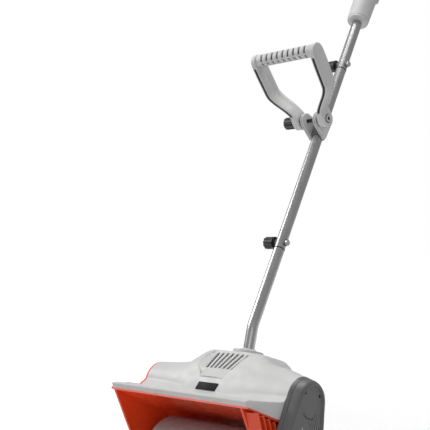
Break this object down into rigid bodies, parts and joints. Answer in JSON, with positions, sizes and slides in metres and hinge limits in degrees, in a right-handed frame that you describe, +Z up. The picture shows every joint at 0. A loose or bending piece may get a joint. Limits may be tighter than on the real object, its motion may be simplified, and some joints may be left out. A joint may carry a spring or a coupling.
{
  "type": "snow blower",
  "caption": "Cordless power-shovel snow blower: a belt-driven paddle rotor in a scoop, a bent three-section tube, an adjustable front handle and a battery rear handle.",
  "frame": {"origin": "on the ground, under the middle of the scraper bar", "axes": "+Z up, the mouth faces -Y and the handle rises towards +Y, the belt cover is on the +X side"},
  "size_m": [0.38, 1.0471, 1.0187],
  "materials": {
    "orange_plastic": "smooth moulded",
    "light_plastic": "fine satin moulded",
    "dark_plastic": "fine grain",
    "black_plastic": "satin",
    "soft_grip": "matte",
    "paddle_rubber": "smooth, semi-matte",
    "tube_metal": "satin anodised",
    "steel": "zinc plated",
    "drive_plastic": "moulded",
    "black_steel": "black oxide",
    "alloy": "die cast",
    "belt_rubber": "matte",
    "cable_jacket": "smooth",
    "battery_white": "satin",
    "battery_latch_plastic": "satin",
    "cell_wrap": "shrink wrapped"
  },
  "bodies": {
    "head": {"scoop_shell": "orange_plastic", "left_side_wall": "orange_plastic", "right_side_wall": "orange_plastic", "scraper_bar": "black_plastic", "scraper_screws": "steel", "top_cover": "light_plastic", "rear_cover": "light_plastic", "badge_plate": "black_plastic", "tube_socket": "light_plastic", "socket_screws": "steel", "belt_case": "dark_plastic", "belt_cover": "dark_plastic", "cover_screws": "black_steel", "motor_can": "black_steel", "motor_end_bell": "alloy", "motor_mount": "dark_plastic", "motor_screws": "steel", "shaft_bearing": "steel", "drive_belt": "belt_rubber", "rotor_bearings": "steel", "lower_tube": "tube_metal", "middle_tube": "tube_metal", "upper_tube": "tube_metal", "joint_sleeves": "tube_metal", "joint_rings": "soft_grip", "joint_saddles": "dark_plastic", "joint_bolts": "steel", "wiring_cable": "cable_jacket", "rear_shell_left": "light_plastic", "rear_shell_right": "light_plastic", "neck_collar": "light_plastic", "shell_screws": "steel", "trigger_pin": "steel", "trigger_spring": "steel", "switch_module": "black_plastic", "terminal_block": "black_plastic"},
    "motor_rotor": {"motor_shaft": "steel", "motor_fan": "black_plastic", "motor_pulley": "steel"},
    "rotor": {"rotor_shaft": "steel", "rotor_drum": "drive_plastic", "rotor_paddles": "paddle_rubber", "rotor_pulley": "drive_plastic", "pulley_nut": "steel"},
    "clamp": {"clamp_left": "light_plastic", "clamp_right": "light_plastic", "clamp_sleeve": "dark_plastic", "tooth_washers": "dark_plastic", "pivot_bolt": "black_steel"},
    "front_handle": {"front_handle_frame": "light_plastic", "front_grip_bands": "soft_grip", "front_arm_trims": "soft_grip"},
    "pivot_knob": {"pivot_knob": "black_plastic"},
    "lower_knob": {"lower_joint_knob": "black_plastic"},
    "upper_knob": {"upper_joint_knob": "black_plastic"},
    "trigger": {"trigger": "black_plastic"},
    "lock_off": {"lock_off_button": "black_plastic"},
    "battery": {"battery_case": "battery_white", "battery_cells": "cell_wrap"},
    "latch": {"battery_latch": "battery_latch_plastic"}
  },
  "joints": [
    {"name": "rotor_spin", "type": "hinge", "parent": "head", "child": "rotor", "pos_m": [0, -0.023, 0.082], "axis": [1, 0, 0], "continuous": true},
    {"name": "motor_spin", "type": "hinge", "parent": "head", "child": "motor_rotor", "pos_m": [0, 0.047, 0.178], "axis": [1, 0, 0], "continuous": true},
    {"name": "clamp_slide", "type": "slide", "parent": "head", "child": "clamp", "axis": [0, 0.7242, 0.6896], "range_m": [-0.19, 0.11]},
    {"name": "front_handle_tilt", "type": "hinge", "parent": "clamp", "child": "front_handle", "pos_m": [0, 0.47161, 0.60016], "axis": [1, 0, 0], "range_deg": [-45, 60]},
    {"name": "pivot_knob_turn", "type": "hinge", "parent": "clamp", "child": "pivot_knob", "pos_m": [0, 0.47161, 0.60016], "axis": [1, 0, 0], "continuous": true},
    {"name": "lower_knob_turn", "type": "hinge", "parent": "head", "child": "lower_knob", "pos_m": [0, 0.29453, 0.38734], "axis": [1, 0, 0], "continuous": true},
    {"name": "upper_knob_turn", "type": "hinge", "parent": "head", "child": "upper_knob", "pos_m": [0, 0.61679, 0.69422], "axis": [1, 0, 0], "continuous": true},
    {"name": "trigger_pull", "type": "hinge", "parent": "head", "child": "trigger", "pos_m": [0, 0.82297, 0.91128], "axis": [-1, 0, 0], "range_deg": [0, 10], "stiffness_Nm_per_rad": 0.4, "springref_deg": -5.73},
    {"name": "lock_off_press", "type": "slide", "parent": "head", "child": "lock_off", "axis": [1, 0, 0], "range_m": [0, 0.003], "stiffness_N_per_m": 300, "springref_m": -0.002},
    {"name": "battery_slide", "type": "slide", "parent": "head", "child": "battery", "axis": [0, -0.6896, 0.7242], "range_m": [0, 0.125]},
    {"name": "latch_press", "type": "slide", "parent": "battery", "child": "latch", "axis": [0, 0.6896, -0.7242], "range_m": [0, 0.002], "stiffness_N_per_m": 300, "springref_m": -0.002}
  ],
  "couplings": [
    {"joint": "motor_spin", "follows": "rotor_spin", "ratio": 5}
  ]
}
